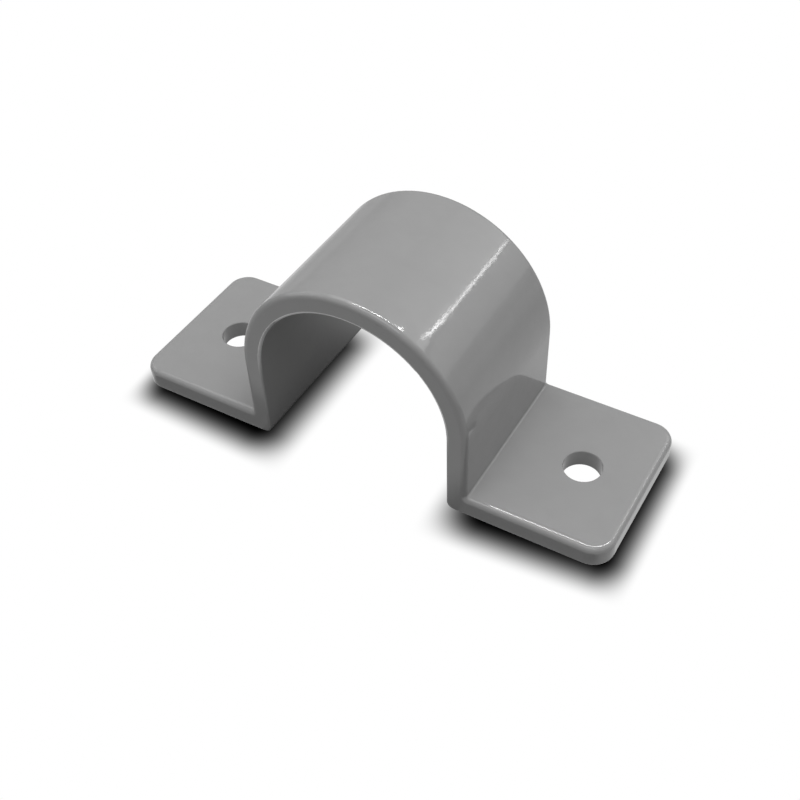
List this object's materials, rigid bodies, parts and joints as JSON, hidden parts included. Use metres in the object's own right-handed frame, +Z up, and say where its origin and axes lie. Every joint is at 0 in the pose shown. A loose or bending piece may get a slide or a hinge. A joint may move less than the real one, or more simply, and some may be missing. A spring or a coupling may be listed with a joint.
{
  "type": "conduit strap",
  "caption": "Moulded saddle strap that holds round conduit against a surface, with a flat foot and a plain screw hole on each side.",
  "frame": {"origin": "middle of the mounting surface, under the crown of the saddle", "axes": "+X from foot to foot, +Y along the conduit, +Z up from the mounting surface to the crown"},
  "size_m": [0.0874, 0.03, 0.0351],
  "materials": {
    "grey_pvc": "glossy moulded grey"
  },
  "bodies": {
    "root": {"conduit_strap": "grey_pvc"}
  },
  "joints": []
}
